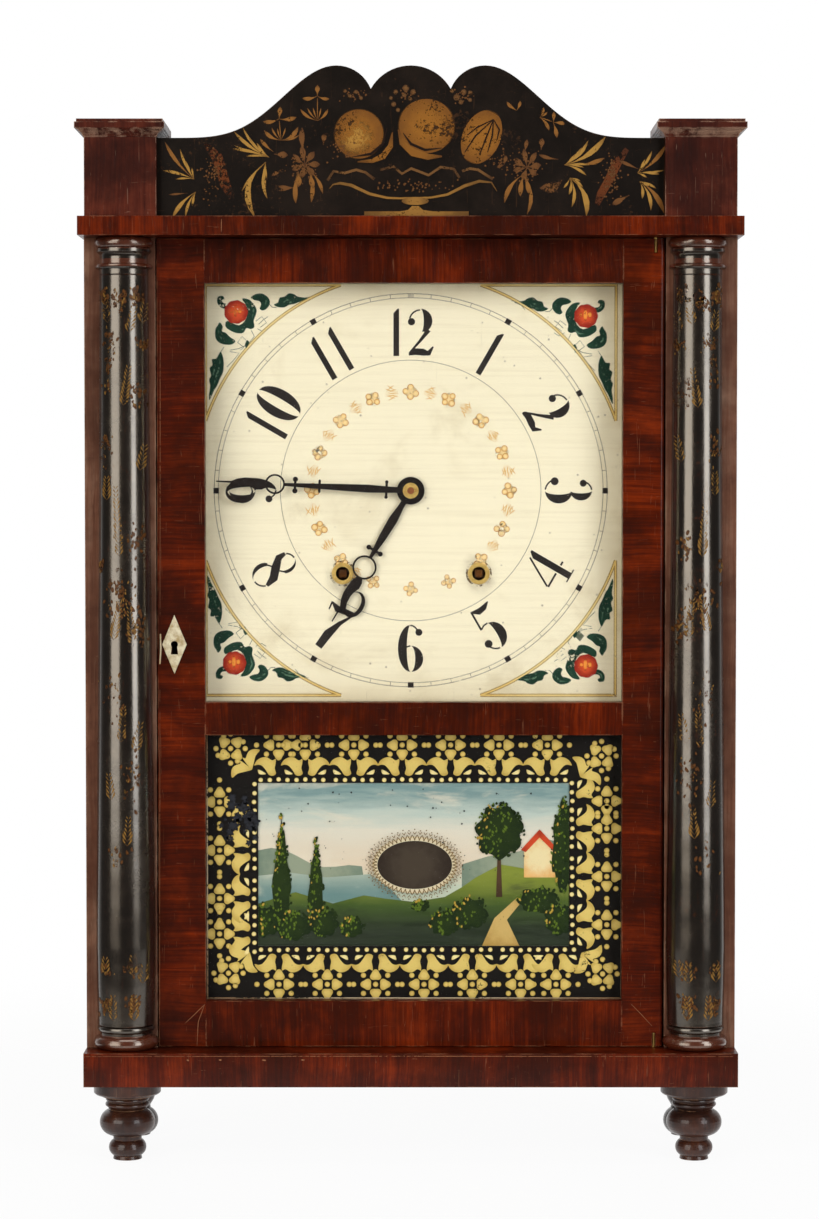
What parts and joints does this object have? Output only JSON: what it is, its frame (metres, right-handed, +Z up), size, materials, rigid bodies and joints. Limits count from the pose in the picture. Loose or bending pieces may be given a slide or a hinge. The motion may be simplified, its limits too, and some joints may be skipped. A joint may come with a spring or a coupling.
{
  "type": "shelf clock",
  "caption": "tall wooden shelf clock with half columns, shaped splat, two-panel glazed door, square dial and a weight-driven movement inside",
  "frame": {"origin": "on the floor under the middle of the clock", "axes": "+X to the right as seen from the front, +Y to the back, +Z up; the dial faces -Y"},
  "size_m": [0.4324, 0.128, 0.7122],
  "materials": {
    "mahogany": "french-polished mahogany veneer, dark red-brown, with worn edges",
    "mahogany_solid": "turned and planed mahogany, dark red-brown, old polish",
    "black_lacquer": "black painted wood with worn bronze-gold stencilling",
    "pine": "bare old pine, planed, browned with age",
    "dial_paint": "cream painted wood with plain black hour numbers and gold lines",
    "brass": "old brass, softly worn",
    "clear_glass": "thin old window glass, slightly wavy",
    "tablet_paint": "glass painted on its back, with a stencilled border and an unpainted oval",
    "putty": "hard old glazier's putty",
    "bone": "turned bone, yellowed",
    "iron": "dark iron with an oxide skin",
    "steel": "iron wire, drawn and dulled",
    "oak": "quartered oak plates, bare and browned",
    "cherry": "cherry wheels and arbors, cut and bare",
    "laurel": "turned hardwood, bare"
  },
  "bodies": {
    "case": {"backboard": "pine", "side_left": "mahogany", "side_right": "mahogany", "top_board": "mahogany", "base_board": "mahogany", "stile_left": "mahogany", "stile_right": "mahogany", "column_left": "black_lacquer", "column_right": "black_lacquer", "block_left": "mahogany", "block_right": "mahogany", "block_caps": "mahogany", "splat": "black_lacquer", "feet_front": "mahogany_solid", "feet_rear": "mahogany_solid", "case_rails": "pine", "dial_board": "dial_paint", "winding_ferrules": "brass", "hinge_pins": "brass", "front_plate": "oak", "back_plate": "oak", "plate_pillars": "laurel", "bell": "iron", "suspension_stud": "steel"},
    "door": {"door_stile_left": "mahogany", "door_stile_right": "mahogany", "door_rail_top": "mahogany", "door_rail_middle": "mahogany", "door_rail_bottom": "mahogany", "door_glass": "clear_glass", "tablet_glass": "tablet_paint", "glazing_strips": "putty", "escutcheon": "bone", "lock_case": "iron"},
    "bolt": {"lock_bolt": "iron"},
    "minute": {"minute_arbor": "cherry", "minute_hand": "iron", "hand_pin": "brass"},
    "motion": {"motion_wheel": "cherry"},
    "hour": {"hour_wheel": "cherry", "hour_hand": "iron"},
    "going_great": {"going_great_wheel": "cherry"},
    "second": {"second_wheel": "cherry"},
    "third": {"third_wheel": "cherry"},
    "escape": {"escape_wheel": "brass"},
    "pendulum": {"pendulum_rod": "steel", "pendulum_bob": "brass"},
    "verge": {"verge": "steel"},
    "strike_great": {"strike_great_wheel": "cherry"},
    "pin": {"pin_wheel": "cherry"},
    "warning": {"warning_wheel": "cherry"},
    "fly": {"fly": "cherry"},
    "count": {"count_wheel": "cherry"},
    "hammer": {"hammer": "steel"},
    "weight_left": {"weight_left": "iron"},
    "weight_right": {"weight_right": "iron"},
    "strike_drum": {"strike_drum": "laurel"},
    "going_drum": {"going_drum": "laurel"},
    "pulley_left": {"pulley_left": "laurel"},
    "pulley_right": {"pulley_right": "laurel"}
  },
  "joints": [
    {"name": "door_hinge", "type": "hinge", "parent": "case", "child": "door", "pos_m": [0.1595, -0.0375, 0.3377], "axis": [0, 0, 1], "range_deg": [0, 108]},
    {"name": "lock_bolt_slide", "type": "slide", "parent": "door", "child": "bolt", "axis": [-1, 0, 0], "range_m": [0, 0.006]},
    {"name": "minute_hand_turn", "type": "hinge", "parent": "case", "child": "minute", "pos_m": [0, 0.02, 0.438], "axis": [0, 1, 0], "continuous": true},
    {"name": "motion_wheel_turn", "type": "hinge", "parent": "case", "child": "motion", "pos_m": [0, 0.02, 0.418], "axis": [0, 1, 0], "continuous": true},
    {"name": "hour_hand_turn", "type": "hinge", "parent": "case", "child": "hour", "pos_m": [0, 0.02, 0.438], "axis": [0, 1, 0], "continuous": true},
    {"name": "second_wheel_turn", "type": "hinge", "parent": "case", "child": "second", "pos_m": [0.03191, 0.02, 0.42628], "axis": [0, 1, 0], "continuous": true},
    {"name": "going_great_wheel_turn", "type": "hinge", "parent": "case", "child": "going_great", "pos_m": [0.0449, 0.02, 0.3834], "axis": [0, 1, 0], "continuous": true},
    {"name": "third_wheel_turn", "type": "hinge", "parent": "case", "child": "third", "pos_m": [0.0378, 0.02, 0.45875], "axis": [0, 1, 0], "continuous": true},
    {"name": "escape_wheel_turn", "type": "hinge", "parent": "case", "child": "escape", "pos_m": [0.014, 0.02, 0.476], "axis": [0, 1, 0], "continuous": true},
    {"name": "pendulum_swing", "type": "hinge", "parent": "case", "child": "pendulum", "pos_m": [0.014, -0.01, 0.49863], "axis": [0, 1, 0], "range_deg": [-3, 3]},
    {"name": "verge_swing", "type": "hinge", "parent": "case", "child": "verge", "pos_m": [0.014, 0, 0.49863], "axis": [0, 1, 0], "range_deg": [-3, 3]},
    {"name": "pin_wheel_turn", "type": "hinge", "parent": "case", "child": "pin", "pos_m": [-0.03191, 0.02, 0.42628], "axis": [0, 1, 0], "continuous": true},
    {"name": "strike_great_wheel_turn", "type": "hinge", "parent": "case", "child": "strike_great", "pos_m": [-0.0449, 0.02, 0.3834], "axis": [0, 1, 0], "continuous": true},
    {"name": "warning_wheel_turn", "type": "hinge", "parent": "case", "child": "warning", "pos_m": [-0.03764, 0.02, 0.45878], "axis": [0, 1, 0], "continuous": true},
    {"name": "fly_turn", "type": "hinge", "parent": "case", "child": "fly", "pos_m": [-0.0414, 0.02, 0.48005], "axis": [0, 1, 0], "continuous": true},
    {"name": "count_wheel_turn", "type": "hinge", "parent": "case", "child": "count", "pos_m": [-0.05214, 0.02, 0.44325], "axis": [0, 1, 0], "continuous": true},
    {"name": "hammer_swing", "type": "hinge", "parent": "case", "child": "hammer", "pos_m": [-0.072, 0.02, 0.424], "axis": [0, 1, 0], "range_deg": [0, 6], "stiffness_Nm_per_rad": 0.06, "springref_deg": -5.73},
    {"name": "weight_left_slide", "type": "slide", "parent": "case", "child": "weight_left", "axis": [0, 0, 1], "range_m": [0, 0.35]},
    {"name": "weight_right_slide", "type": "slide", "parent": "case", "child": "weight_right", "axis": [0, 0, 1], "range_m": [0, 0.35]},
    {"name": "strike_drum_turn", "type": "hinge", "parent": "case", "child": "strike_drum", "pos_m": [-0.0449, 0.02, 0.3834], "axis": [0, 1, 0], "range_deg": [-1255, 0]},
    {"name": "going_drum_turn", "type": "hinge", "parent": "case", "child": "going_drum", "pos_m": [0.0449, 0.02, 0.3834], "axis": [0, 1, 0], "range_deg": [-1255, 0]},
    {"name": "pulley_left_turn", "type": "hinge", "parent": "case", "child": "pulley_left", "pos_m": [-0.139, 0.02, 0.612], "axis": [0, 1, 0], "range_deg": [0, 1825]},
    {"name": "pulley_right_turn", "type": "hinge", "parent": "case", "child": "pulley_right", "pos_m": [0.139, 0.02, 0.612], "axis": [0, 1, 0], "range_deg": [-1825, 0]}
  ],
  "couplings": [
    {"joint": "motion_wheel_turn", "follows": "minute_hand_turn", "ratio": -0.33333},
    {"joint": "hour_hand_turn", "follows": "minute_hand_turn", "ratio": 0.083333},
    {"joint": "second_wheel_turn", "follows": "minute_hand_turn", "ratio": -0.66667},
    {"joint": "going_great_wheel_turn", "follows": "minute_hand_turn", "ratio": 0.11111},
    {"joint": "third_wheel_turn", "follows": "minute_hand_turn", "ratio": 6.6667},
    {"joint": "escape_wheel_turn", "follows": "minute_hand_turn", "ratio": -86.667},
    {"joint": "verge_swing", "follows": "pendulum_swing", "ratio": 1},
    {"joint": "strike_great_wheel_turn", "follows": "pin_wheel_turn", "ratio": -0.16667},
    {"joint": "warning_wheel_turn", "follows": "pin_wheel_turn", "ratio": -10},
    {"joint": "fly_turn", "follows": "pin_wheel_turn", "ratio": 80},
    {"joint": "count_wheel_turn", "follows": "pin_wheel_turn", "ratio": -0.12821},
    {"joint": "strike_drum_turn", "follows": "weight_left_slide", "rad_per_m": -62.5},
    {"joint": "pulley_left_turn", "follows": "weight_left_slide", "rad_per_m": 90.909},
    {"joint": "going_drum_turn", "follows": "weight_right_slide", "rad_per_m": -62.5},
    {"joint": "pulley_right_turn", "follows": "weight_right_slide", "rad_per_m": -90.909}
  ]
}
